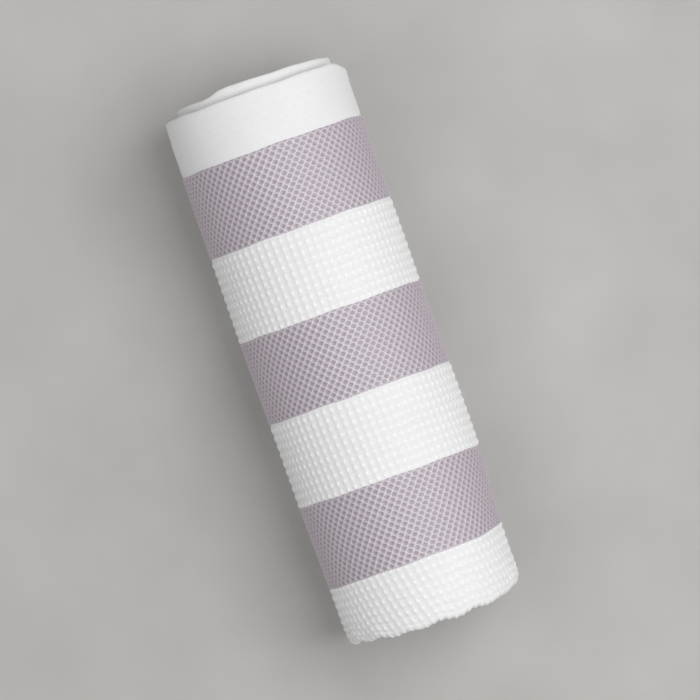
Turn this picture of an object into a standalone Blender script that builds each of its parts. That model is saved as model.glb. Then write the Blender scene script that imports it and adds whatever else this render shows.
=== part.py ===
"""A golf towel, folded in half across its woven bands and rolled up along its length.

The roll lies on its flattened underside. The roll's axis is Y, the hemmed end is at +Y and
the folded end at -Y. Both layers of the folded cloth, front (outer) and back (inner), are wound
together as one spiral. Each woven band of each layer is a solid of its own.
Units are metres, +Z is up, and the origin is under the middle of the roll.
"""
import math

import bmesh
import bpy

# The cloth, laid flat
TOWEL_LENGTH = 1.016  # along the bands: the length that is rolled up
MAUVE_WIDTH = 0.0393  # each mauve diamond-weave band
WAFFLE_WIDTH = 0.0402  # each white waffle band between two mauve ones
MAUVE_BANDS = 3  # on each layer
BORDER_WIDTH = 0.0194  # plain-woven white border, up to its hem
HEM_WIDTH = 0.0070  # turned hem at the end of the border
MIDDLE_BAND_WIDTH = 0.0586  # the white waffle band that the fold runs through
SIDE_HEM_WIDTH = 0.0080  # turned hem across the bands, at both ends of the length
WAFFLE_THICKNESS = 0.0023
MAUVE_THICKNESS = 0.0021
BORDER_THICKNESS = 0.0012
HEM_THICKNESS = 0.0016
THREAD_THICKNESS = 0.00035
THREAD_WIDTH = 0.0009
THREAD_INSET = 0.0015  # from the hem's inner edge to the line of stitches

# The roll
CORE_RADIUS = 0.0065  # innermost layer, at its middle
FLAT_HALF_ANGLE = math.radians(26)  # half the angle that the flattened underside spans
ROUND_STEPS = 12  # facets of one turn, apart from the flat one
TELESCOPE = 0.0045  # how far the inner turns stand out of the outermost one at the hemmed end
TELESCOPE_TURNS = (0.85, 1.25)  # turns in from the loose end, over which the cloth drifts

# Clearances
PIECE_GAP = 0.0003  # between neighbouring pieces of the cloth
LAYER_GAP = 0.0003  # between two layers of cloth, where they lie closest
CUT_MARGIN = 0.0012  # from a cut across the cloth to the nearest corner of the spiral
FOLD_STEPS = 4  # facets of the fold's half-round

# Across the bands: half of the towel's width of 508 mm
OPEN_BANDS_WIDTH = MAUVE_BANDS * MAUVE_WIDTH + (MAUVE_BANDS - 1) * WAFFLE_WIDTH
HALF_WIDTH = HEM_WIDTH + BORDER_WIDTH + OPEN_BANDS_WIDTH + MIDDLE_BAND_WIDTH / 2

# Through the layers. Radial distances shrink by this share on the flat underside.
FLAT_SHARE = math.cos(FLAT_HALF_ANGLE)
STITCHED_HEM = HEM_THICKNESS + PIECE_GAP + THREAD_THICKNESS
THICKEST = max(WAFFLE_THICKNESS, MAUVE_THICKNESS, BORDER_THICKNESS, STITCHED_HEM)
LAYER_STEP = (THICKEST + LAYER_GAP) / FLAT_SHARE  # middle of one layer to middle of the next
LAYER_OFFSET = LAYER_STEP / 2
TURN_PITCH = 2 * LAYER_STEP
HEM_INSET = (THREAD_THICKNESS + PIECE_GAP) / 2 / FLAT_SHARE  # makes room for the thread
THREAD_OFFSET = (HEM_THICKNESS + PIECE_GAP) / 2 / FLAT_SHARE
FOLD_CENTRE = LAYER_OFFSET + WAFFLE_THICKNESS / 2  # of the fold's half-round, from the fold

ROUND_ANGLE = (2 * math.pi - 2 * FLAT_HALF_ANGLE) / ROUND_STEPS
CORE_MIDDLE = CORE_RADIUS + LAYER_OFFSET  # between the two layers, at the innermost turn
TURN_SIDES = 2 * (ROUND_STEPS * math.sin(ROUND_ANGLE / 2) + math.sin(FLAT_HALF_ANGLE))


def start_empty():
    """Remove every object of the scene."""
    for old in list(bpy.data.objects):
        bpy.data.objects.remove(old, do_unlink=True)


def new_collection(name):
    """Add a collection to the scene."""
    collection = bpy.data.collections.new(name)
    bpy.context.scene.collection.children.link(collection)
    return collection


def new_material(name, colour, roughness):
    """Make a plain cloth or thread material."""
    material = bpy.data.materials.new(name)
    material.use_nodes = True
    shader = material.node_tree.nodes["Principled BSDF"]
    shader.inputs["Base Color"].default_value = (*colour, 1.0)
    shader.inputs["Roughness"].default_value = roughness
    shader.inputs["Metallic"].default_value = 0.0
    return material


def spiral_corners():
    """Corners of the faceted spiral midway between the layers, from the core to the loose end.

    Each is (clock angle, radius, turns in from the loose end). The clock angle is 0 at the
    crest and grows towards +X. The radius grows on the round facets and stays the same along
    the flat one, so that the underside is flat and every turn is a scaled copy of the next.
    """
    outer_radius = math.sqrt(CORE_MIDDLE**2 + 2 * TURN_PITCH * TOWEL_LENGTH / TURN_SIDES)
    facets_in_turn = ROUND_STEPS + 1
    facets = round((outer_radius - CORE_MIDDLE) / TURN_PITCH * facets_in_turn)
    corners = []
    for back in range(facets, -1, -1):
        turn, step = divmod(back, facets_in_turn)
        round_facets_back = turn * ROUND_STEPS + max(step - 1, 0)
        radius = outer_radius - TURN_PITCH * round_facets_back / ROUND_STEPS
        angle = math.pi + FLAT_HALF_ANGLE - turn * 2 * math.pi
        if step > 0:
            angle -= 2 * FLAT_HALF_ANGLE + (step - 1) * ROUND_ANGLE
        corners.append((angle, radius, back / facets_in_turn))
    return corners


def place(corner, offset):
    """Point of the cloth at a corner of the spiral, moved outwards by an offset."""
    angle, radius, _ = corner
    return (radius + offset) * math.sin(angle), (radius + offset) * math.cos(angle)


def running_lengths(corners):
    """Distance along the spiral from the core to each corner."""
    lengths = [0.0]
    for before, after in zip(corners, corners[1:]):
        (x0, z0), (x1, z1) = place(before, 0.0), place(after, 0.0)
        lengths.append(lengths[-1] + math.hypot(x1 - x0, z1 - z0))
    return lengths


CORNERS = spiral_corners()
LENGTHS = running_lengths(CORNERS)


def drift(turns_in):
    """How far the cloth has slid towards the hemmed end, this many turns in."""
    first, last = TELESCOPE_TURNS
    part = min(max((turns_in - first) / (last - first), 0.0), 1.0)
    return TELESCOPE * part * part * (3 - 2 * part)


def facet_at(length):
    """Index of the corner where the facet that holds this length begins."""
    index = 0
    while index < len(LENGTHS) - 2 and LENGTHS[index + 1] < length:
        index += 1
    return index


def cloth_point(length, offset, across):
    """Point at a length along the spiral, an offset from its middle and a way from the fold.

    At a corner the offset is radial. Between corners it is square to the facet, and as much
    smaller as the facet is nearer to the axis than its corners are.
    """
    index = facet_at(length)
    part = (length - LENGTHS[index]) / (LENGTHS[index + 1] - LENGTHS[index])
    before, after = CORNERS[index], CORNERS[index + 1]
    y = across + drift(before[2]) + (drift(after[2]) - drift(before[2])) * part
    if part in (0.0, 1.0):
        x, z = place(after if part else before, offset)
        return x, y, z
    (x0, z0), (x1, z1) = place(before, 0.0), place(after, 0.0)
    along = (x1 - x0, z1 - z0)
    nearer = math.cos((after[0] - before[0]) / 2) * offset / math.hypot(*along)
    x = x0 + along[0] * part - along[1] * nearer
    z = z0 + along[1] * part + along[0] * nearer
    return x, y, z


def clear_of_corners(length):
    """Nearest length to this one at which the cloth can be cut without meeting a corner."""
    index = facet_at(length)
    before, after = LENGTHS[index], LENGTHS[index + 1]
    margin = min(CUT_MARGIN, (after - before) / 2)
    return min(max(length, before + margin), after - margin)


def stations(start, end):
    """Lengths at which a strip gets a row of points: its ends and each corner between them."""
    inside = [s for s in LENGTHS if start + PIECE_GAP < s < end - PIECE_GAP]
    return [start, *inside, end]


def flat_section(offset, low, high):
    """Section of one layer: (offset, way from the fold) at its two edges."""
    return [(offset, low), (offset, high)]


def fold_section(offset, high):
    """Section of both layers and the half-round that joins them at the fold."""
    section = [(offset, high)]
    for step in range(FOLD_STEPS + 1):
        turn = math.pi * step / FOLD_STEPS
        section.append((offset * math.cos(turn), FOLD_CENTRE - offset * math.sin(turn)))
    section.append((-offset, high))
    return section


def wound_strip(name, section, ends, thickness, material, collection, carrier):
    """Wind a section along the spiral between two lengths, and give it its thickness."""
    rows = stations(*ends)
    columns = len(section) - 1
    bm = bmesh.new()
    bmesh.ops.create_grid(bm, x_segments=columns, y_segments=len(rows) - 1, size=0.5)
    for vertex in bm.verts:
        column = round((vertex.co.x + 0.5) * columns)
        row = round((vertex.co.y + 0.5) * (len(rows) - 1))
        vertex.co = cloth_point(rows[row], *section[column])
    mesh = bpy.data.meshes.new(name)
    bm.to_mesh(mesh)
    bm.free()
    mesh.materials.append(material)
    strip = bpy.data.objects.new(name, mesh)
    collection.objects.link(strip)
    strip.parent = carrier
    cloth = strip.modifiers.new("cloth", "SOLIDIFY")
    cloth.thickness = thickness
    cloth.offset = 0.0
    cloth.use_even_offset = True
    return strip


def lay_on_floor(carrier, strips):
    """Move the carrier so that the roll stands on Z = 0 with the origin under its middle."""
    depsgraph = bpy.context.evaluated_depsgraph_get()
    points = []
    for strip in strips:
        shaped = strip.evaluated_get(depsgraph)
        points += [shaped.matrix_world @ vertex.co for vertex in shaped.to_mesh().vertices]
        shaped.to_mesh_clear()
    lows = [min(point[axis] for point in points) for axis in range(3)]
    highs = [max(point[axis] for point in points) for axis in range(3)]
    carrier.location = (-(lows[0] + highs[0]) / 2, -(lows[1] + highs[1]) / 2, -lows[2])


def band_layout():
    """The bands of one layer from the hem inwards: (name, lower edge, upper edge)."""
    bands = []
    upper = HALF_WIDTH
    widths = [("hem", HEM_WIDTH), ("border", BORDER_WIDTH)]
    for number in range(1, MAUVE_BANDS + 1):
        widths.append((f"mauve_band_{number}", MAUVE_WIDTH))
        if number < MAUVE_BANDS:
            widths.append((f"waffle_band_{number}", WAFFLE_WIDTH))
    for name, width in widths:
        bands.append((name, upper - width, upper))
        upper -= width
    return bands


def main():
    start_empty()
    collection = new_collection("golf_towel")
    carrier = bpy.data.objects.new("roll", None)
    collection.objects.link(carrier)

    waffle_white = new_material("waffle_white", (0.84, 0.84, 0.85), 0.92)
    plain_white = new_material("plain_white", (0.82, 0.82, 0.83), 0.88)
    mauve = new_material("mauve", (0.42, 0.37, 0.42), 0.90)
    thread_white = new_material("thread_white", (0.80, 0.80, 0.80), 0.60)

    cloth_end = LENGTHS[-1]
    half_gap = PIECE_GAP / 2
    core_cut = clear_of_corners(SIDE_HEM_WIDTH)
    loose_cut = clear_of_corners(cloth_end - SIDE_HEM_WIDTH)
    band_ends = (core_cut + half_gap, loose_cut - half_gap)
    finishes = {
        "hem": (HEM_THICKNESS, HEM_INSET, plain_white),
        "border": (BORDER_THICKNESS, HEM_INSET, plain_white),
        "mauve": (MAUVE_THICKNESS, 0.0, mauve),
        "waffle": (WAFFLE_THICKNESS, 0.0, waffle_white),
    }
    strips = []
    for layer, side in (("front", 1), ("back", -1)):
        for name, low, high in band_layout():
            thickness, inset, material = finishes[name.split("_")[0]]
            offset = side * (LAYER_OFFSET - inset)
            section = flat_section(offset, low + half_gap, high - half_gap)
            strips.append(wound_strip(f"{layer}_{name}", section, band_ends, thickness,
                                      material, collection, carrier))
        stitch_line = HALF_WIDTH - HEM_WIDTH + THREAD_INSET
        offset = side * (LAYER_OFFSET + THREAD_OFFSET)
        section = flat_section(offset, stitch_line, stitch_line + THREAD_WIDTH)
        strips.append(wound_strip(f"{layer}_hem_thread", section, band_ends, THREAD_THICKNESS,
                                  thread_white, collection, carrier))

    fold_top = band_layout()[-1][1] - half_gap
    strips.append(wound_strip("fold_waffle_band", fold_section(LAYER_OFFSET, fold_top),
                              band_ends, WAFFLE_THICKNESS, waffle_white, collection, carrier))

    side_ends = {
        "core": (0.0, core_cut - half_gap),
        "loose": (loose_cut + half_gap, cloth_end),
    }
    hem_section = fold_section(LAYER_OFFSET - HEM_INSET, HALF_WIDTH)
    thread_section = fold_section(LAYER_OFFSET + THREAD_OFFSET, HALF_WIDTH)
    for end, (start, stop) in side_ends.items():
        strips.append(wound_strip(f"{end}_side_hem", hem_section, (start, stop),
                                  HEM_THICKNESS, plain_white, collection, carrier))
        if end == "core":
            stitches = (stop - THREAD_INSET - THREAD_WIDTH, stop - THREAD_INSET)
        else:
            stitches = (start + THREAD_INSET, start + THREAD_INSET + THREAD_WIDTH)
        strips.append(wound_strip(f"{end}_side_hem_thread", thread_section, stitches,
                                  THREAD_THICKNESS, thread_white, collection, carrier))
    lay_on_floor(carrier, strips)


main()
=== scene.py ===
# %% [markdown]
# # A rolled golf towel
# The towel is one long woven cloth with bands of three weaves. It is folded in half across its
# bands and then rolled up. This lesson makes each band flat, as it leaves the loom, and lets a
# node tree wind it up, because a flat strip is easy to give a weave, a hem and a row of stitches.

import math

import bpy
import numpy as np
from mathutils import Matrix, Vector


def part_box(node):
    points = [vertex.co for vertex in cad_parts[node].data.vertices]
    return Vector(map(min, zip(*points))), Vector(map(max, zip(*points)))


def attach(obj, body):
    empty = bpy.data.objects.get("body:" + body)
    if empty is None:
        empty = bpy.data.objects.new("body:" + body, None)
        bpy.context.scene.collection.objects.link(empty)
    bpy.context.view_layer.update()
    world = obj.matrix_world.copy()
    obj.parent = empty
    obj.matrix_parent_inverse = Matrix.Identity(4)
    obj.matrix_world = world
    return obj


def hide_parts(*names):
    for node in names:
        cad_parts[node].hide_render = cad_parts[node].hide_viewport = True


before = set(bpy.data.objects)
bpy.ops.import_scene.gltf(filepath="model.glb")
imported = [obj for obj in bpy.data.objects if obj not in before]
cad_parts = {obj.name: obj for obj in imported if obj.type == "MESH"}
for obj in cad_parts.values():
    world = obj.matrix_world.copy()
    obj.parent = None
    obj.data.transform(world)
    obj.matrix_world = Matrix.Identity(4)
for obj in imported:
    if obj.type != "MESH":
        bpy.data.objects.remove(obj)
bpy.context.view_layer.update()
print("frame nodes:", len(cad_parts))

# %% [markdown]
# ## Camera, floor and light
# The roll lies on a pale floor and is seen from straight above, a little turned. A long lens
# from far away keeps its sides nearly parallel. One large soft lamp stands to the right of the
# crest, a low one lights its right side, a weak one the left, and an even sky fills the shadows.

# %% Camera
CAMERA_PLACE = (0.0027, -0.0004, 4.2)
CAMERA_TURN = math.radians(-19.8)
SENSOR_WIDTH = 36.0
LONG_LENS = 470.0

camera_data = bpy.data.cameras.new("camera")
camera_data.sensor_width = SENSOR_WIDTH
camera_data.lens = LONG_LENS
camera = bpy.data.objects.new("camera", camera_data)
camera.location = CAMERA_PLACE
camera.rotation_euler = (0.0, 0.0, CAMERA_TURN)
bpy.context.scene.collection.objects.link(camera)
bpy.context.scene.camera = camera
bpy.context.scene.view_settings.view_transform = "Standard"
print("camera height:", CAMERA_PLACE[2], "m")

# %% Lamps and sky
SKY_COLOUR = (1.0, 1.0, 1.0, 1.0)
SKY_STRENGTH = 0.36


def soft_lamp(name, place, size, power):
    """Add a square lamp that faces the middle of the roll."""
    lamp_data = bpy.data.lights.new(name, "AREA")
    lamp_data.size = size
    lamp_data.energy = power
    lamp = bpy.data.objects.new(name, lamp_data)
    lamp.location = place
    lamp.rotation_euler = lamp.location.to_track_quat("Z", "Y").to_euler()
    lamp.visible_camera = False
    bpy.context.scene.collection.objects.link(lamp)


soft_lamp("key_lamp", place=(0.80, 0.04, 1.78), size=1.3, power=19.8)
soft_lamp("side_lamp", place=(1.50, -0.30, 0.75), size=0.8, power=2.8)
soft_lamp("fill_lamp", place=(-0.85, -0.10, 1.65), size=1.2, power=5.5)
world = bpy.data.worlds.new("sky")
world.use_nodes = True
sky = world.node_tree.nodes["Background"]
sky.inputs["Color"].default_value = SKY_COLOUR
sky.inputs["Strength"].default_value = SKY_STRENGTH
bpy.context.scene.world = world
print("lamps:", [lamp.name for lamp in bpy.data.lights])

# %% [markdown]
# ## Small helpers for node trees
# A weave is described once, as arithmetic on two numbers: how many cells along the cloth and
# how many cells across it. The same helpers add that arithmetic to a geometry tree, where it
# lifts the surface, and to a material, where it colours it, so the two always agree.

# %% Node helpers
def plug(tree, socket, value):
    """Link another node's output into a socket, or set the socket to a plain value."""
    if isinstance(value, bpy.types.NodeSocket):
        tree.links.new(value, socket)
    else:
        socket.default_value = value


def add_node(tree, kind, inputs=None, **settings):
    """Add a node with its settings and what is plugged into its named inputs."""
    node = tree.nodes.new(kind)
    for name, value in settings.items():
        setattr(node, name, value)
    for name, value in (inputs or {}).items():
        plug(tree, node.inputs[name], value)
    return node


def maths(tree, operation, *values):
    """Add a Math node and give back its result."""
    node = add_node(tree, "ShaderNodeMath", operation=operation)
    for socket, value in zip(node.inputs, values):
        plug(tree, socket, value)
    return node.outputs[0]


def limited(tree, value):
    """Keep a value between 0 and 1."""
    return maths(tree, "MINIMUM", maths(tree, "MAXIMUM", value, 0.0), 1.0)


# %% Weave patterns
DOT_SHARPNESS = 3.0
DOT_UNLIKE = (0.8, 0.4)  # least size of a dot, and how much a chance may add to it
DOT_RISE = 0.46
COLUMN_SHARPNESS = 1.5
COLUMN_RISE = 0.30
GROOVE_SHARPNESS = 7.0
GROOVE_DEPTH = 0.62
LINE_SHARPNESS = 16.0
LINE_RISE = 0.25
HOLLOW_DEPTH = 0.75
HOLLOW_FLATNESS = 0.35  # under 1, so that a hollow's floor is broad
HOLLOW_LENGTH = 0.5


def ridge(tree, cells, sharpness):
    """1 at each whole number of cells and 0 half way between."""
    wave = maths(tree, "COSINE", maths(tree, "MULTIPLY", cells, 2.0 * math.pi))
    share = maths(tree, "MULTIPLY_ADD", wave, 0.4999, 0.5)  # kept just above 0 for the power
    return maths(tree, "POWER", share, sharpness)


def cell_chance(tree, along, across):
    """A random number from 0 to 1 for each cell, counted from dot to dot."""
    column = maths(tree, "ROUND", along)
    row = maths(tree, "ROUND", across)
    place = add_node(tree, "ShaderNodeCombineXYZ", {"X": column, "Y": row})
    return add_node(tree, "ShaderNodeTexWhiteNoise", {"Vector": place.outputs[0]},
                    noise_dimensions="2D").outputs["Value"]


def waffle_dot(tree, along, across):
    """1 on the raised dot where two ridges cross, each dot a little unlike the next."""
    dot = maths(tree, "MULTIPLY", ridge(tree, along, DOT_SHARPNESS),
                ridge(tree, across, DOT_SHARPNESS))
    least, more = DOT_UNLIKE
    unlike = maths(tree, "MULTIPLY_ADD", cell_chance(tree, along, across), more, least)
    return maths(tree, "MULTIPLY", dot, unlike)


def waffle_groove(tree, across):
    """1 in the narrow groove half way between two rows of dots."""
    return ridge(tree, maths(tree, "ADD", across, 0.5), GROOVE_SHARPNESS)


def waffle_height(tree, along, across):
    """Waffle weave, from 0 in a groove to its highest on the raised dots."""
    column = maths(tree, "MULTIPLY_ADD", ridge(tree, along, COLUMN_SHARPNESS), COLUMN_RISE,
                   GROOVE_DEPTH)
    walls = maths(tree, "MULTIPLY_ADD", waffle_groove(tree, across), -GROOVE_DEPTH, column)
    return maths(tree, "MULTIPLY_ADD", waffle_dot(tree, along, across), DOT_RISE, walls)


def slanting_ridges(tree, along, across, sharpness):
    """The ridges of the diamond net that rise, and those that fall."""
    rising = ridge(tree, maths(tree, "ADD", along, across), sharpness)
    falling = ridge(tree, maths(tree, "SUBTRACT", along, across), sharpness)
    return rising, falling


def net_line(tree, along, across):
    """Diamond net, 1 on its slanting lines and 0 away from them."""
    return maths(tree, "MAXIMUM", *slanting_ridges(tree, along, across, LINE_SHARPNESS))


def net_hollow(tree, along, across):
    """Diamond net, 1 in the middle of each diamond's long low hollow and 0 on its sides."""
    off_lines = [maths(tree, "SUBTRACT", 1.0, slanting)
                 for slanting in slanting_ridges(tree, along, across, 1.0)]
    diamond = maths(tree, "POWER", maths(tree, "MULTIPLY", *off_lines), HOLLOW_FLATNESS)
    low = ridge(tree, maths(tree, "MULTIPLY", across, 2.0), HOLLOW_LENGTH)
    return maths(tree, "MULTIPLY", diamond, low)


def net_height(tree, along, across):
    """Diamond net, from 0 in a hollow to 1 on its lines."""
    depth = maths(tree, "MULTIPLY", net_hollow(tree, along, across), HOLLOW_DEPTH)
    raised = maths(tree, "MULTIPLY", net_line(tree, along, across), LINE_RISE)
    return maths(tree, "ADD", maths(tree, "SUBTRACT", HOLLOW_DEPTH, depth), raised)


def plain_height(tree, along, across):
    """Plain weave is too fine to lift the surface."""
    return 0.0


print("weave patterns: waffle, net, plain")

# %% [markdown]
# ## The materials
# The white bands are matt cotton, with a soft sheen where the light grazes them. The waffle
# has a painted highlight on its raised dots and painted shade in its grooves. The mauve yarn is
# smoother and takes a broad highlight. A net of paler yarn lies over its hollows, which are
# darker partly by their yarn and partly by painted shade. The fine threads are a bump on the
# cloth's own weave coordinates, so that they turn with the cloth.

# %% Cloth materials
YARNS_PER_CELL = 7.0
THREAD_BUMP = 0.8
FUZZ_BUMP = 0.9
FUZZ_SCALE = 1300.0
BUMP_STRENGTH = 0.6
SHEEN_ROUGHNESS = 0.5
CLOUD_SCALE = 45.0
FIBRE_SCALE = 900.0
LEAST_SHADE = 0.905  # of the cloth's colour, to which the clouds and the fibres add
CLOUD_SHADE = 0.07
FIBRE_SHADE = 0.12


def weave_coordinates(tree):
    """Cells along and across the cloth, as its UV map holds them."""
    uv = add_node(tree, "ShaderNodeUVMap", uv_map="weave")
    split = add_node(tree, "ShaderNodeSeparateXYZ", {"Vector": uv.outputs["UV"]})
    return split.outputs["X"], split.outputs["Y"]


def mixed(tree, factor, first, second):
    """Mix two colours."""
    node = add_node(tree, "ShaderNodeMix", data_type="RGBA")
    plug(tree, node.inputs[0], factor)
    plug(tree, node.inputs[6], first)
    plug(tree, node.inputs[7], second)
    return node.outputs[2]


def yarn_bump(tree, along, across, depth, raised, lift):
    """Bump of the raised yarns of the weave, of the fine threads and of the fuzz on them."""
    warp = ridge(tree, maths(tree, "MULTIPLY", along, YARNS_PER_CELL), 1.0)
    weft = ridge(tree, maths(tree, "MULTIPLY", across, YARNS_PER_CELL), 1.0)
    place = add_node(tree, "ShaderNodeTexCoord")
    fuzz = add_node(tree, "ShaderNodeTexNoise",
                    {"Vector": place.outputs["Object"], "Scale": FUZZ_SCALE, "Detail": 3.0})
    threads = maths(tree, "MULTIPLY", maths(tree, "MAXIMUM", warp, weft), THREAD_BUMP)
    height = maths(tree, "MULTIPLY_ADD", fuzz.outputs[0], FUZZ_BUMP, threads)
    if raised:
        height = maths(tree, "MULTIPLY_ADD", raised(tree, along, across), lift, height)
    return add_node(tree, "ShaderNodeBump",
                    {"Height": height, "Strength": BUMP_STRENGTH,
                     "Distance": depth}).outputs["Normal"]


def cloth_material(name, colour_of, depth=0.00010, sheen=0.25, raised=None, lift=0.0,
                   roughness=0.9, gloss=0.25, index=1.5):
    """Make a cotton material. colour_of gives its colour, with nodes of its own if need be."""
    material = bpy.data.materials.new(name)
    material.use_nodes = True
    tree = material.node_tree
    along, across = weave_coordinates(tree)
    shader = tree.nodes["Principled BSDF"]
    shader.inputs["Roughness"].default_value = roughness
    shader.inputs["Specular IOR Level"].default_value = gloss
    shader.inputs["IOR"].default_value = index
    shader.inputs["Sheen Weight"].default_value = sheen
    shader.inputs["Sheen Roughness"].default_value = SHEEN_ROUGHNESS
    place = add_node(tree, "ShaderNodeTexCoord")
    cloud = add_node(tree, "ShaderNodeTexNoise",
                     {"Vector": place.outputs["Object"], "Scale": CLOUD_SCALE, "Detail": 4.0})
    fibres = add_node(tree, "ShaderNodeTexNoise",
                      {"Vector": place.outputs["Object"], "Scale": FIBRE_SCALE, "Detail": 2.0})
    uneven = maths(tree, "MULTIPLY_ADD", cloud.outputs[0], CLOUD_SHADE, LEAST_SHADE)
    uneven = maths(tree, "MULTIPLY_ADD", fibres.outputs[0], FIBRE_SHADE, uneven)
    colour = colour_of(tree, along, across)
    shaded = add_node(tree, "ShaderNodeVectorMath", {0: colour, "Scale": uneven},
                      operation="SCALE")
    plug(tree, shader.inputs["Base Color"], shaded.outputs["Vector"])
    plug(tree, shader.inputs["Normal"], yarn_bump(tree, along, across, depth, raised, lift))
    return material


WHITE = (0.86, 0.86, 0.865, 1.0)
WHITE_WAFFLE = (0.885, 0.885, 0.89, 1.0)
# painted highlight: the raised waffle dots are painted whiter than the cloth
DOT_PAINTED_HIGHLIGHT = (1.0, 1.0, 1.0, 1.0)
# painted shade: the waffle grooves are painted a little greyer than the cloth
GROOVE_PAINTED_SHADE = (0.875, 0.875, 0.88, 1.0)
MAUVE = (0.452, 0.375, 0.448, 1.0)
MAUVE_LINE = (0.63, 0.56, 0.625, 1.0)
# the hollows' darker yarn, deepened with painted shade
MAUVE_HOLLOW_AND_PAINTED_SHADE = (0.245, 0.190, 0.240, 1.0)


def waffle_colour(tree, along, across):
    """White, with a painted highlight on the raised dots and painted shade in the grooves."""
    # the grooves get painted shade
    ground = mixed(tree, waffle_groove(tree, across), WHITE_WAFFLE, GROOVE_PAINTED_SHADE)
    # the raised dots get a painted highlight
    return mixed(tree, waffle_dot(tree, along, across), ground, DOT_PAINTED_HIGHLIGHT)


def plain_colour(tree, along, across):
    """White all over."""
    return WHITE[:3]


def net_colour(tree, along, across):
    """Mauve ground, paler slanting lines, and hollows darker by their yarn and by painted shade.
    """
    # the hollows are darker partly by their yarn and partly by painted shade
    ground = mixed(tree, net_hollow(tree, along, across), MAUVE, MAUVE_HOLLOW_AND_PAINTED_SHADE)
    return mixed(tree, net_line(tree, along, across), ground, MAUVE_LINE)


waffle_white = cloth_material("waffle_white_cotton", waffle_colour, raised=waffle_height,
                              lift=1.8)
plain_white = cloth_material("plain_white_cotton", plain_colour, depth=0.00006)
mauve = cloth_material("mauve_cotton", net_colour, sheen=0.05, raised=net_height, lift=2.2,
                       roughness=0.55, gloss=1.0, index=2.25)
thread_white = cloth_material("white_sewing_thread", plain_colour, depth=0.00003, sheen=0.1)
print("materials:", [m.name for m in (waffle_white, plain_white, mauve, thread_white)])

# %% [markdown]
# ## The winding
# The middle of the folded cloth follows a spiral that has sagged flat where it rests on the
# floor. Its points come from a formula, and they are kept as a curve that the node tree can
# measure along. The inner turns stand a little out of the outermost one at the hemmed end.

# %% Sizes of the roll
TOWEL_LENGTH = 1.016
TOWEL_WIDTH = 0.508
OUTER_RADIUS = 0.04374  # of the middle of the folded cloth, at its loose end
TURN_PITCH = 0.005785
FLAT_HALF_ANGLE = math.radians(26.0)
LOOSE_END_ANGLE = math.degrees(math.pi + FLAT_HALF_ANGLE)
FLAT_SHARE = math.cos(FLAT_HALF_ANGLE)
SOFTNESS = 0.0012  # how gently the round side turns into the flat underside
LAYER_RADIUS = 0.00135  # from the middle of the folded cloth to the middle of one layer
HALF_THICKNESS = 0.00115
STEP_ANGLE = 0.5
TELESCOPE = 0.0036  # how far the inner turns stand out of the outermost one
TELESCOPE_TURNS = (0.85, 1.25)  # turns back from the loose end where that starts and is full
PEAK = 0.0019  # how much further the second turn stands out just left of the crest
PEAK_BACK = (460.0, 580.0, 599.0)  # degrees back where that starts, is highest and has gone
FAR_APART = 30.0  # times the softness, past which two distances aren't rounded together

half_width = TOWEL_WIDTH / 2
fold_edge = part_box("fold_waffle_band")[0].y
axis_height = OUTER_RADIUS * FLAT_SHARE + LAYER_RADIUS + HALF_THICKNESS


def rise(value, start, end):
    """0 at start, 1 at end, smooth between."""
    part = np.clip((value - start) / (end - start), 0.0, 1.0)
    return part * part * (3.0 - 2.0 * part)


def radius_at(back):
    """Radius of the cloth's middle, this many degrees back from the loose end."""
    turn, part = divmod(back, 360.0)
    flat = math.degrees(2.0 * FLAT_HALF_ANGLE)
    round_share = max(part - flat, 0.0) / (360.0 - flat)
    return OUTER_RADIUS - TURN_PITCH * (turn + round_share)


def slide_at(back):
    """How far the cloth has slid towards the hemmed end."""
    start, highest, end = PEAK_BACK
    climb = min(max((back - start) / (highest - start), 0.0), 1.0)
    peak = PEAK * climb * (1.0 - rise(back, highest, end))
    return TELESCOPE * rise(back / 360.0, *TELESCOPE_TURNS) + peak


def soft_minimum(first, second):
    """The smaller of two distances, rounded off where they are nearly the same."""
    gap = (second - first) / SOFTNESS
    if gap < -FAR_APART:
        return second
    return first - SOFTNESS * math.log1p(math.exp(-gap))


def winding_point(back):
    """Point of the spiral about the roll's axis, this many degrees back from the loose end."""
    angle = math.radians(LOOSE_END_ANGLE - back)
    radius = radius_at(back)
    height = radius * math.cos(angle)
    if height < 0.0:
        height = -soft_minimum(-height, radius * FLAT_SHARE)
    return radius * math.sin(angle), slide_at(back), height + axis_height


right_side = winding_point(LOOSE_END_ANGLE - 90.0)[0]
left_side = winding_point(LOOSE_END_ANGLE + 90.0)[0]
axis_x = -(right_side + left_side) / 2.0

# %% Winding path
backs, path_points, travelled = [0.0], [winding_point(0.0)], [0.0]
while travelled[-1] < TOWEL_LENGTH:
    backs.append(backs[-1] + STEP_ANGLE)
    path_points.append(winding_point(backs[-1]))
    travelled.append(travelled[-1] + math.dist(path_points[-2], path_points[-1]))
cloth_length = travelled[-1]


def length_from_loose_end(back):
    """Length of cloth between the loose end and this many degrees back."""
    return float(np.interp(back, backs, travelled))


curve = bpy.data.curves.new("winding_path", "CURVE")
curve.dimensions = "3D"
spline = curve.splines.new("POLY")
spline.points.add(len(path_points) - 1)
for point, (x, y, z) in zip(spline.points, reversed(path_points)):
    point.co = (x + axis_x, y, z, 1.0)
winding_path = bpy.data.objects.new("winding_path", curve)
bpy.context.scene.collection.objects.link(winding_path)
print("cloth wound:", round(cloth_length, 4), "m in", round(backs[-1] / 360.0, 2), "turns,",
      "core radius", round(radius_at(backs[-1]) * 1000, 1), "mm")

# %% [markdown]
# ## Winding the cloth with Geometry Nodes
# A flat strip has X along the cloth, Y across it from the fold and Z through it. The tree lifts
# the weave, keeps the weave coordinates as a UV map, and then moves each point: its length
# picks a place on the winding path, and its distance from the fold says which layer it is in.

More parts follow.
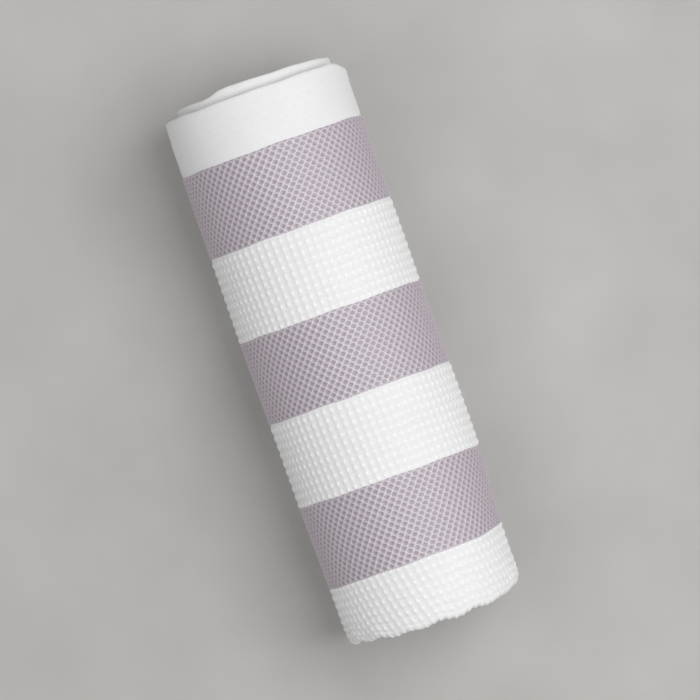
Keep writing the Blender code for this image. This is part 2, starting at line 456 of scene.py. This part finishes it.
# %% Winding tree
CELL_ALONG = 0.00350
CELL_ACROSS = 0.004013
EDGE_TAPER = 0.0008  # width over which the relief grows from a band's edge
FIRST_ROW = 0.34  # cells from a band's low edge to its first row of dots
SKEW_AT_HEM = 0.03
SKEW_AT_FOLD = 0.0116  # the rows of cells lean more, the nearer they are to the fold
SKEW_POWER = 6.4
TURN_TAPER = 0.005  # length over which the relief grows, where the hidden turns end
TREE_INPUTS = [
    ("Geometry", "NodeSocketGeometry"), ("Winding path", "NodeSocketObject"),
    ("Layer radius", "NodeSocketFloat"), ("Fold centre", "NodeSocketFloat"),
    ("Fold edge Y", "NodeSocketFloat"), ("Half width", "NodeSocketFloat"),
    ("Cell along", "NodeSocketFloat"), ("Cell across", "NodeSocketFloat"),
    ("Low edge", "NodeSocketFloat"), ("High edge", "NodeSocketFloat"),
    ("Relief", "NodeSocketFloat"), ("Relief starts", "NodeSocketFloat"),
    ("Finish", "NodeSocketMaterial"),
]


def new_tree(name, inputs):
    """Start a geometry tree with named inputs, and give back its input node's outputs."""
    tree = bpy.data.node_groups.new(name, "GeometryNodeTree")
    for label, kind in inputs:
        tree.interface.new_socket(name=label, in_out="INPUT", socket_type=kind)
    tree.interface.new_socket(name="Geometry", in_out="OUTPUT", socket_type="NodeSocketGeometry")
    return tree, tree.nodes.new("NodeGroupInput").outputs


def finish_tree(tree, geometry, finish):
    """End a geometry tree with real geometry that has its material."""
    real = add_node(tree, "GeometryNodeRealizeInstances", {"Geometry": geometry})
    painted = add_node(tree, "GeometryNodeSetMaterial",
                       {"Geometry": real.outputs["Geometry"], "Material": finish})
    tree.links.new(painted.outputs["Geometry"], tree.nodes.new("NodeGroupOutput").inputs[0])


def winding_tree(name, height_of):
    """Make the tree that gives a flat strip its weave and winds it into the roll."""
    tree, given = new_tree(name, TREE_INPUTS)
    position = add_node(tree, "GeometryNodeInputPosition").outputs[0]
    split = add_node(tree, "ShaderNodeSeparateXYZ", {"Vector": position})
    along, across, through = split.outputs

    reach = maths(tree, "ABSOLUTE", across)
    from_hem = maths(tree, "SUBTRACT", given["Half width"], reach)
    hem_share = maths(tree, "DIVIDE", from_hem, given["Half width"])
    skew = maths(tree, "MULTIPLY", maths(tree, "POWER", hem_share, SKEW_POWER), SKEW_AT_FOLD)
    skew = maths(tree, "MULTIPLY_ADD", from_hem, SKEW_AT_HEM, skew)
    cells_along = maths(tree, "DIVIDE", maths(tree, "SUBTRACT", along, skew),
                        given["Cell along"])
    from_low = maths(tree, "SUBTRACT", across, given["Low edge"])
    cells_across = maths(tree, "DIVIDE", from_low, given["Cell across"])
    cells_across = maths(tree, "SUBTRACT", cells_across, FIRST_ROW)
    weave = add_node(tree, "ShaderNodeCombineXYZ", {"X": cells_along, "Y": cells_across})
    stored = add_node(tree, "GeometryNodeStoreNamedAttribute",
                      {"Geometry": given["Geometry"], "Name": "weave"},
                      data_type="FLOAT2", domain="CORNER")
    plug(tree, [s for s in stored.inputs if s.name == "Value" and s.enabled][0],
         weave.outputs[0])

    outer = add_node(tree, "GeometryNodeInputNamedAttribute", {"Name": "outer_face"},
                     data_type="FLOAT").outputs["Attribute"]
    from_high = maths(tree, "SUBTRACT", given["High edge"], across)
    from_edge = maths(tree, "DIVIDE", maths(tree, "MINIMUM", from_low, from_high), EDGE_TAPER)
    into_turn = maths(tree, "DIVIDE",
                      maths(tree, "SUBTRACT", along, given["Relief starts"]), TURN_TAPER)
    share = maths(tree, "MULTIPLY", limited(tree, from_edge), limited(tree, into_turn))
    share = maths(tree, "MULTIPLY", share, outer)
    lift = maths(tree, "SUBTRACT", height_of(tree, cells_along, cells_across), 0.5)
    lift = maths(tree, "MULTIPLY", maths(tree, "MULTIPLY", lift, share), given["Relief"])
    radius = maths(tree, "ADD", maths(tree, "ADD", given["Layer radius"], through), lift)

    quarter = math.pi / 2.0
    turn = maths(tree, "DIVIDE", across, given["Layer radius"])
    turn = maths(tree, "MINIMUM", maths(tree, "MAXIMUM", turn, -quarter), quarter)
    offset = maths(tree, "MULTIPLY", radius, maths(tree, "SINE", turn))
    past_fold = maths(tree, "SUBTRACT", reach,
                      maths(tree, "MULTIPLY", given["Layer radius"], quarter))
    past_fold = maths(tree, "MAXIMUM", past_fold, 0.0)
    inward = maths(tree, "MULTIPLY", radius, maths(tree, "COSINE", turn))
    from_fold = maths(tree, "SUBTRACT", maths(tree, "ADD", given["Fold centre"], past_fold),
                      inward)
    place_y = maths(tree, "ADD", from_fold, given["Fold edge Y"])

    path = add_node(tree, "GeometryNodeObjectInfo", {"Object": given["Winding path"]})
    sample = add_node(tree, "GeometryNodeSampleCurve",
                      {"Curves": path.outputs["Geometry"], "Length": along}, mode="LENGTH")
    outward = add_node(tree, "ShaderNodeVectorMath",
                       {0: sample.outputs["Tangent"], 1: (0.0, 1.0, 0.0)},
                       operation="CROSS_PRODUCT").outputs["Vector"]
    outward = add_node(tree, "ShaderNodeVectorMath", {0: outward},
                       operation="NORMALIZE").outputs["Vector"]
    outward = add_node(tree, "ShaderNodeVectorMath", {0: outward, "Scale": offset},
                       operation="SCALE").outputs["Vector"]
    moved = add_node(tree, "ShaderNodeVectorMath", {0: sample.outputs["Position"], 1: outward},
                     operation="ADD").outputs["Vector"]
    slid = add_node(tree, "ShaderNodeCombineXYZ", {"Y": place_y}).outputs[0]
    wound = add_node(tree, "ShaderNodeVectorMath", {0: moved, 1: slid},
                     operation="ADD").outputs["Vector"]
    placed = add_node(tree, "GeometryNodeSetPosition",
                      {"Geometry": stored.outputs["Geometry"], "Position": wound})
    finish_tree(tree, placed.outputs["Geometry"], given["Finish"])
    return tree


wind_waffle = winding_tree("Wind waffle cloth", waffle_height)
wind_net = winding_tree("Wind diamond cloth", net_height)
wind_plain = winding_tree("Wind plain cloth", plain_height)
print("winding tree nodes:", len(wind_waffle.nodes))


# %% Running a tree
def add_tree(piece, tree, values):
    """Add a tree to a piece and set its inputs by their identifiers."""
    modifier = piece.modifiers.new(tree.name, "NODES")
    modifier.node_group = tree
    for item in tree.interface.items_tree:
        if item.in_out == "INPUT" and item.name in values:
            modifier[item.identifier] = values[item.name]


def make_plain(piece):
    """Turn what the modifiers make into the piece's own mesh, and remove them."""
    shaped = piece.evaluated_get(bpy.context.evaluated_depsgraph_get())
    mesh = bpy.data.meshes.new_from_object(shaped)
    piece.modifiers.clear()
    piece.data = mesh
    return mesh


# %% [markdown]
# ## How the roll has settled
# A real roll isn't a perfect cylinder. It is slimmer on one side near the fold, its corners are
# rounded, and its folded rim is drawn in and lobed. Each of these is a smooth change of all the
# turns together, so that they stay nested. Only at the hemmed end does the outermost turn stand
# off the rest. The moves are worked out from a point's clock angle about the axis, from 0 at the
# crest, and its place along the roll.

# %% Settling
# Half widths of the roll: the share at the hemmed end, then (change, from y, to y)
RIGHT_SHARE, RIGHT_CHANGES = 1.014, [(-0.014, 0.116, 0.045), (-0.062, -0.054, -0.112)]
LEFT_SHARE, LEFT_CHANGES = 0.978, [(0.018, 0.116, 0.020), (-0.014, -0.060, -0.115)]
HEM_MOUTH = (0.112, 0.127)  # y where the mouth at the hemmed end starts, and is full
MOUTH_RIGHT = (0.000, 0.020)  # share added on the right: to the outermost turn, to the rest
MOUTH_LEFT = (0.030, 0.050)  # share taken off on the left, in the same order
HEM_FLARE = 0.012  # share by which the outermost turn stands off the next one at its hem
FLARE_PLACE = (0.114, 0.126)

# Waves in the radius: (share, waves round, their start, waves along, their start)
WAVES = [(0.0030, 3.0, 0.7, 62.0, 1.1), (0.0022, 5.0, 2.1, 95.0, 0.4)]
LOBES = [(1.0, 16.0, 0.8), (0.5, 11.0, 2.3)]  # (height, lobes round, their start)
RIM_DEPTH = 0.011  # how far the drawn-in rim reaches from the fold
RIM_DRAW = 0.012
RIM_LOBES = 0.008

# Slides along the roll
FOLD_END = -0.100  # y where the folded end starts
LOBE_SLIDE = 0.0005
LEFT_SLIDE, LEFT_SLIDE_CLOCK = 0.0012, (-12.0, -45.0)
EDGE_WAVES = [(0.00012, 7.0, 70.0), (0.0001, 13.0, 0.0)]  # (slide, waves round, waves along)
CELLS_ROUND = round(2.0 * math.pi * OUTER_RADIUS / CELL_ALONG)
CELL_TEETH = 0.00012  # slide of each waffle cell at the rim
RIGHT_CLOCK = ((30.0, 95.0), (150.0, 120.0))  # clock angles where a side grows, from each end
LEFT_CLOCK = ((-25.0, -60.0), (-150.0, -120.0))
CORNER_CLOCK = ((62.0, 92.0), (150.0, 120.0))
NEAR_FOLD = (-0.060, -0.100)
RIGHT_PUSH = 0.0027  # of the right side near the fold, away from the rim
RIM_PUSH_RIGHT = 0.0024
RIM_PUSH_LEFT = 0.0016
NEAR_HEM = (0.106, 0.125)
CORNER_SINK = (0.0004, 0.0036)  # of the hem's corner: every turn, and the outermost one besides


def changed(share, changes, y):
    """A share after its changes along the roll."""
    for change, start, end in changes:
        share = share + change * rise(y, start, end)
    return share


def between(clock, grows, fades):
    """1 on one side of the roll and 0 elsewhere, by clock angle."""
    return rise(clock, *grows) * rise(clock, *fades)


def first_turn_inside(clock):
    """Radius just inside the outermost turn, at a clock angle."""
    back = (LOOSE_END_ANGLE - clock) % 360.0
    return np.vectorize(radius_at)(back) - TURN_PITCH / 2.0


def settle(mesh):
    """Move a wound piece's points as the roll has settled."""
    places = np.empty(len(mesh.vertices) * 3)
    mesh.vertices.foreach_get("co", places)
    x, y, z = places.reshape(-1, 3).T.copy()
    x -= axis_x
    z -= axis_height
    clock = np.degrees(np.arctan2(x, z))
    clock_turn = np.radians(clock)
    outermost = np.hypot(x, z) > first_turn_inside(clock)
    fold_end = rise(y, FOLD_END, fold_edge)
    rim = rise(y, fold_edge + RIM_DEPTH, fold_edge)

    mouth = rise(y, *HEM_MOUTH)
    right = changed(RIGHT_SHARE, RIGHT_CHANGES, y) + np.where(outermost, *MOUTH_RIGHT) * mouth
    left = changed(LEFT_SHARE, LEFT_CHANGES, y) - np.where(outermost, *MOUTH_LEFT) * mouth
    side = np.sin(clock_turn)
    x *= 1.0 + (np.where(side > 0.0, right, left) - 1.0) * side * side

    waves = sum(share * np.sin(count * clock_turn + turned) * np.sin(y * pace + shift)
                for share, count, turned, pace, shift in WAVES)
    lobes = sum(height * np.sin(count * clock_turn + turned) for height, count, turned in LOBES)
    swell = 1.0 + waves + rim * (RIM_LOBES * lobes - RIM_DRAW)
    swell += HEM_FLARE * outermost * rise(y, *FLARE_PLACE)
    x *= swell
    z *= swell

    y += fold_end * (LOBE_SLIDE * lobes + LEFT_SLIDE * rise(clock, *LEFT_SLIDE_CLOCK))
    y += sum(slide * np.sin(count * clock_turn + y * pace) for slide, count, pace in EDGE_WAVES)
    y += rim * CELL_TEETH * np.sin(CELLS_ROUND * clock_turn)
    right_side = between(clock, *RIGHT_CLOCK)
    left_side = between(clock, *LEFT_CLOCK)
    y += RIGHT_PUSH * right_side * rise(y, *NEAR_FOLD)
    y += rim * (RIM_PUSH_RIGHT * right_side + RIM_PUSH_LEFT * left_side)
    every_turn, outer_turn = CORNER_SINK
    sink = every_turn + outer_turn * outermost
    y -= rise(y, *NEAR_HEM) * between(clock, *CORNER_CLOCK) * sink

    z = np.maximum(z + axis_height, 0.0)
    mesh.vertices.foreach_set("co", np.column_stack([x + axis_x, y, z]).ravel())
    mesh.update()


print("the roll's axis is", round(axis_height * 1000, 1), "mm above the floor")

# %% [markdown]
# ## Making a band
# A band is a thin closed box: its face, its two long edges, its hidden underside and a cap at
# each end. Only the part of the face that can be seen is fine enough for the weave to lift it.
# The turns inside the roll, the underside and the hidden layer are coarse.

# %% Where along the cloth the face is fine
COARSENESS = 1.0
FINE = 0.00036 * COARSENESS
MIDDLING = 0.0011 * COARSENESS
COARSE = 0.0022 * COARSENESS
INNER_TURN_STEP = 8.0  # degrees between rows of points in the turns that can't be seen
HIDDEN_LAYER_STEP = 5.0
SIDE_HEM = 0.008
SEEN_EACH_SIDE = 108.0  # degrees from the crest down to the last of the face that can be seen
RELIEF_STARTS = 378.0  # degrees back from the loose end
relief_starts = cloth_length - length_from_loose_end(RELIEF_STARTS)


def even_steps(start, end, step):
    """Evenly spaced values from start to end, at most one step apart."""
    return np.linspace(start, end, max(2, math.ceil((end - start) / step) + 1))


def joined(*stretches):
    """Join stretches of values that share their ends."""
    return np.concatenate([stretches[0], *[stretch[1:] for stretch in stretches[1:]]])


def even_turning(start, end, step):
    """Lengths from start to end at which the roll has turned by equal steps of an angle."""
    first, last = np.interp([cloth_length - start, cloth_length - end], travelled, backs)
    turns = -even_steps(-first, -last, step)
    lengths = cloth_length - np.interp(turns, backs, travelled)
    lengths[[0, -1]] = start, end
    return lengths


core_cut = SIDE_HEM
loose_cut = cloth_length - SIDE_HEM
fine_start = cloth_length - length_from_loose_end(LOOSE_END_ANGLE + SEEN_EACH_SIDE)
fine_end = cloth_length - length_from_loose_end(LOOSE_END_ANGLE - SEEN_EACH_SIDE)
FINE_LENGTHS = joined(even_turning(core_cut, fine_start, INNER_TURN_STEP),
                      even_steps(fine_start, fine_end, FINE),
                      even_steps(fine_end, loose_cut, MIDDLING))
COARSE_LENGTHS = even_turning(core_cut, loose_cut, HIDDEN_LAYER_STEP)
print("rows of points along a fine band:", len(FINE_LENGTHS))


# %% Flat strip
def flat_strip(name, section, lengths):
    """Make a closed flat strip. The section goes once round it, as (across, through, outer)."""
    count = len(section)
    rows = len(lengths)
    section = np.array(section)
    points = np.empty((rows, count, 3))
    points[:, :, 0] = np.asarray(lengths)[:, None]
    points[:, :, 1] = section[:, 0]
    points[:, :, 2] = section[:, 1]
    corner = np.arange(rows * count).reshape(rows, count)
    beside = np.roll(corner, -1, axis=1)
    quads = np.stack([corner[:-1], corner[1:], beside[1:], beside[:-1]], axis=-1)
    faces = quads.reshape(-1, 4).tolist()
    faces += [corner[0].tolist(), corner[-1, ::-1].tolist()]
    mesh = bpy.data.meshes.new(name)
    mesh.from_pydata(points.reshape(-1, 3).tolist(), [], faces)
    outer = mesh.attributes.new("outer_face", "FLOAT", "POINT")
    outer.data.foreach_set("value", np.tile(section[:, 2], rows).astype(np.float32))
    piece = bpy.data.objects.new(name, mesh)
    bpy.context.scene.collection.objects.link(piece)
    return piece


EDGE_DROP = 0.00012  # how much a band's edge lies under its face
HIDDEN_ROWS = 5
SHARP_ANGLE = math.radians(50.0)


def band_section(rows, outer=HALF_THICKNESS, inner=-HALF_THICKNESS):
    """Section of a band whose face has these rows of points."""
    face = [(row, outer, 1.0) for row in rows[1:-1]]
    low_edge = (rows[0], outer - EDGE_DROP, 1.0)
    high_edge = (rows[-1], outer - EDGE_DROP, 1.0)
    underside = [(row, inner, 0.0) for row in np.linspace(rows[-1], rows[0], HIDDEN_ROWS)]
    return [low_edge, *face, high_edge, *underside]


def wind(piece, tree, low, high, relief, finish):
    """Wind a flat piece into the roll, settle it and shade it smooth."""
    values = {
        "Winding path": winding_path, "Layer radius": LAYER_RADIUS,
        "Fold centre": LAYER_RADIUS + HALF_THICKNESS, "Fold edge Y": fold_edge,
        "Half width": half_width, "Cell along": CELL_ALONG, "Cell across": CELL_ACROSS,
        "Low edge": low, "High edge": high, "Relief": relief,
        "Relief starts": relief_starts, "Finish": finish,
    }
    add_tree(piece, tree, values)
    mesh = make_plain(piece)
    settle(mesh)
    mesh.shade_smooth()
    mesh.set_sharp_from_angle(angle=SHARP_ANGLE)


# %% [markdown]
# ## The bands of the cloth
# The places of the bands come from the frame: the lowest point of a band of the front layer is
# its edge in the outermost turn. The back layer is the same cloth beyond the fold, so its bands
# have the same distances with a minus sign.

# %% Places of the bands
PIECE_GAP = 0.0003
FOLD_ALLOWANCE = LAYER_RADIUS * math.pi / 2.0 - (LAYER_RADIUS + HALF_THICKNESS)
HEM_RISE = 0.00100
BORDER_RISE = 0.00096
HEM_INSET = 0.00033  # from the hem's turned edge to the towel's full width
HEM_STEP = MIDDLING / 2.0
HEM_ARC = [math.radians(angle) for angle in (60, 30, 0, -30, -60)]
WAFFLE_RELIEF = 0.00050
NET_RELIEF = 0.00055


def way_from_fold(node):
    """Distance along the cloth from the fold to a front band's lower edge."""
    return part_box(node)[0].y - PIECE_GAP / 2.0 - fold_edge + FOLD_ALLOWANCE


BAND_NAMES = ["waffle_band_2", "mauve_band_3", "waffle_band_1", "mauve_band_2", "mauve_band_1",
              "border", "hem"]
edges = {name: way_from_fold("front_" + name) for name in BAND_NAMES}
order = sorted(edges, key=edges.get)
tops = {name: edges[after] for name, after in zip(order, order[1:])}
tops["hem"] = half_width - HEM_INSET
fold_top = edges[order[0]]
KINDS = {
    "waffle": (wind_waffle, WAFFLE_RELIEF, waffle_white, "waffle_white", HALF_THICKNESS),
    "mauve": (wind_net, NET_RELIEF, mauve, "mauve", HALF_THICKNESS),
    "border": (wind_plain, 0.0, plain_white, "plain_white", BORDER_RISE),
    "hem": (wind_plain, 0.0, plain_white, "plain_white", HEM_RISE),
}
for name in order:
    print(name, "from", round(edges[name] * 1000, 1), "to", round(tops[name] * 1000, 1), "mm")


# %% Wind the bands of both layers
def hem_section(rows, outer):
    """Section of a hem, whose far edge is a rounded turn of the cloth."""
    middle = (outer - HALF_THICKNESS) / 2.0
    size = (outer + HALF_THICKNESS) / 2.0
    away = math.copysign(1.0, rows[-1])
    edge = rows[-1] if away > 0.0 else rows[0]
    arc = [(edge - away * size * (1.0 - math.cos(turn)), middle + size * math.sin(turn), 1.0)
           for turn in HEM_ARC]
    inside = [row for row in rows if abs(row) < abs(edge) - size]
    face = [(row, outer, 1.0) for row in inside]
    under = [(row, -HALF_THICKNESS, 0.0) for row in inside[::-2]]
    if away > 0.0:
        return face + arc + under
    return face + under + arc[::-1]


def make_band(layer, name):
    """Make one band of the front or back layer."""
    low, high = edges[name], tops[name]
    if layer == "back":
        low, high = -high, -low
    tree, relief, finish, slot, outer = KINDS[name.split("_")[0]]
    lengths = FINE_LENGTHS if layer == "front" else COARSE_LENGTHS
    if name == "hem":
        section = hem_section(even_steps(low, high, HEM_STEP), outer)
    else:
        row_step = FINE if layer == "front" and relief > 0.0 else COARSE
        section = band_section(even_steps(low, high, row_step), outer)
    piece = flat_strip(f"{layer}_{name}_cloth", section, lengths)
    wind(piece, tree, low, high, relief, finish)
    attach(piece, "root")
    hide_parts(f"{layer}_{name}")
    return piece


bands = {}
for layer in ("front", "back"):
    for name in order:
        bands[layer, name] = make_band(layer, name)
    print(layer, "bands:", sum(len(bands[layer, name].data.polygons) for name in order), "faces")

# %% The band at the fold
FINE_PAST_FOLD = 0.006  # how far the fine face goes on into the back layer
fold_rows = joined(even_steps(-fold_top, -FINE_PAST_FOLD, COARSE),
                   even_steps(-FINE_PAST_FOLD, fold_top, FINE))
fold_band = flat_strip("fold_waffle_band_cloth", band_section(fold_rows), FINE_LENGTHS)
wind(fold_band, wind_waffle, -fold_top, fold_top, WAFFLE_RELIEF, waffle_white)
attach(fold_band, "root")
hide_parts("fold_waffle_band")
print("fold band:", len(fold_band.data.polygons), "faces")

# %% [markdown]
# ## The side hems
# At both ends of its length the cloth is turned over and sewn down. The hem runs across all
# the bands and round the fold. It keeps the colours of the bands, which its material picks by
# the distance from the fold.

# %% Striped hem material
def striped_colour(tree, along, across):
    """White, and mauve where the hem crosses a mauve band."""
    reach = add_node(tree, "ShaderNodeAttribute", attribute_name="from_fold")
    stripe = 0.0
    for name in order:
        if name.startswith("mauve"):
            above = maths(tree, "GREATER_THAN", reach.outputs["Fac"], edges[name])
            below = maths(tree, "LESS_THAN", reach.outputs["Fac"], tops[name])
            stripe = maths(tree, "ADD", maths(tree, "MULTIPLY", above, below), stripe)
    return mixed(tree, stripe, WHITE, MAUVE)


striped = cloth_material("striped_hem_cotton", striped_colour, depth=0.00008)


def make_side_hem(end, start, stop):
    """Make the hem across the bands at one end of the cloth."""
    face = even_steps(-tops["hem"], tops["hem"], MIDDLING)
    section = band_section(face, HEM_RISE)
    piece = flat_strip(f"{end}_side_hem_cloth", section, even_steps(start, stop, MIDDLING))
    reach = piece.data.attributes.new("from_fold", "FLOAT", "POINT")
    across = np.abs(np.array([vertex.co.y for vertex in piece.data.vertices], np.float32))
    reach.data.foreach_set("value", across)
    wind(piece, wind_plain, -tops["hem"], tops["hem"], 0.0, striped)
    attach(piece, "root")
    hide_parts(f"{end}_side_hem")
    return piece


core_side_hem = make_side_hem("core", 0.0, core_cut)
loose_side_hem = make_side_hem("loose", loose_cut, cloth_length)
print("side hems run", round(2 * tops["hem"], 3), "m across the cloth")

# %% [markdown]
# ## The stitches
# A hem is held by a row of short stitches, each a small rounded bar of thread that dips into
# the cloth at both ends. A tree repeats one stitch along a flat line, and the winding tree then
# carries the whole row round with the cloth.

# %% Stitch tree
STITCH_PITCH = 0.0030
STITCH_LENGTH = 0.0023
STITCH_WIDTH = 0.00036
STITCH_INPUTS = [
    ("Geometry", "NodeSocketGeometry"), ("Count", "NodeSocketInt"),
    ("First", "NodeSocketVector"), ("Step", "NodeSocketVector"),
    ("Stitch size", "NodeSocketVector"), ("Finish", "NodeSocketMaterial"),
]


def stitch_tree():
    """Make the tree that sets a row of stitches along a straight line."""
    tree, given = new_tree("Sew a row of stitches", STITCH_INPUTS)
    line = add_node(tree, "GeometryNodeMeshLine",
                    {"Count": given["Count"], "Start Location": given["First"],
                     "Offset": given["Step"]})
    stitch = add_node(tree, "GeometryNodeMeshUVSphere",
                      {"Segments": 8, "Rings": 5, "Radius": 0.5})
    shaped = add_node(tree, "GeometryNodeTransform",
                      {"Geometry": stitch.outputs["Mesh"], "Scale": given["Stitch size"]})
    row = add_node(tree, "GeometryNodeInstanceOnPoints",
                   {"Points": line.outputs["Mesh"], "Instance": shaped.outputs["Geometry"]})
    finish_tree(tree, row.outputs["Instances"], given["Finish"])
    return tree


sew = stitch_tree()


# %% Sew the four hems
def make_stitches(node, start, end):
    """Sew a row of stitches between two places on the flat cloth."""
    start, end = np.array(start), np.array(end)
    span = end - start
    count = int(np.linalg.norm(span) / STITCH_PITCH)
    step = span / count
    runs_along = abs(step[0]) > abs(step[1])
    size = [STITCH_LENGTH, STITCH_WIDTH, STITCH_WIDTH]
    if not runs_along:
        size = [STITCH_WIDTH, STITCH_LENGTH, STITCH_WIDTH]
    mesh = bpy.data.meshes.new(node + "_stitches")
    piece = bpy.data.objects.new(node + "_stitches", mesh)
    bpy.context.scene.collection.objects.link(piece)
    values = {"Count": count, "First": (start + step / 2.0).tolist(), "Step": step.tolist(),
              "Stitch size": size, "Finish": thread_white}
    add_tree(piece, sew, values)
    wind(piece, wind_plain, -tops["hem"], tops["hem"], 0.0, thread_white)
    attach(piece, "root")
    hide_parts(node)
    return piece


STITCH_INSET = 0.0018  # from the hem's sewn edge to its row of stitches
STITCH_SINK = 0.00020
STITCH_MARGIN = 0.002  # from the end of a side hem to its first stitch
thread_height = HEM_RISE + STITCH_WIDTH / 2.0 - STITCH_SINK
stitch_line = edges["hem"] + STITCH_INSET
for layer, side in (("front", 1.0), ("back", -1.0)):
    make_stitches(f"{layer}_hem_thread",
                                    (core_cut, side * stitch_line, thread_height),
                                    (loose_cut, side * stitch_line, thread_height))
for end, place in (("core", core_cut - STITCH_INSET), ("loose", loose_cut + STITCH_INSET)):
    make_stitches(f"{end}_side_hem_thread",
                                  (place, STITCH_MARGIN - tops["hem"], thread_height),
                                  (place, tops["hem"] - STITCH_MARGIN, thread_height))
bpy.data.objects.remove(winding_path)

# %% [markdown]
# ## Counting the bands
# The bands other than the narrow hems are counted, with the band at the fold besides.

# %% Counting the bands
for (layer, name), piece in bands.items():
    if name == "hem":
        continue
print("sheets declared:", 1 + sum(name != "hem" for _, name in bands))

# %% [markdown]
# ## The floor
# A pale, slightly mottled floor takes the roll's soft shadow.

# %% Floor
FLOOR_SIZE = 6.0
FLOOR_ROUGHNESS = 0.9
FLOOR_DARK = (0.43, 0.42, 0.405, 1.0)
FLOOR_PALE = (0.58, 0.57, 0.555, 1.0)

floor_mesh = bpy.data.meshes.new("floor")
half_floor = FLOOR_SIZE / 2.0
floor_corners = [(-half_floor, -half_floor, 0.0), (half_floor, -half_floor, 0.0),
                 (half_floor, half_floor, 0.0), (-half_floor, half_floor, 0.0)]
floor_mesh.from_pydata(floor_corners, [], [(0, 1, 2, 3)])
floor = bpy.data.objects.new("floor", floor_mesh)
bpy.context.scene.collection.objects.link(floor)
floor_material = bpy.data.materials.new("pale_floor")
floor_material.use_nodes = True
floor_tree = floor_material.node_tree
floor_shader = floor_tree.nodes["Principled BSDF"]
floor_shader.inputs["Roughness"].default_value = FLOOR_ROUGHNESS
floor_place = add_node(floor_tree, "ShaderNodeTexCoord").outputs["Object"]
floor_cloud = add_node(floor_tree, "ShaderNodeTexNoise",
                       {"Vector": floor_place, "Scale": 14.0, "Detail": 8.0})
floor_colour = mixed(floor_tree, floor_cloud.outputs[0], FLOOR_DARK, FLOOR_PALE)
plug(floor_tree, floor_shader.inputs["Base Color"], floor_colour)
floor_mesh.materials.append(floor_material)
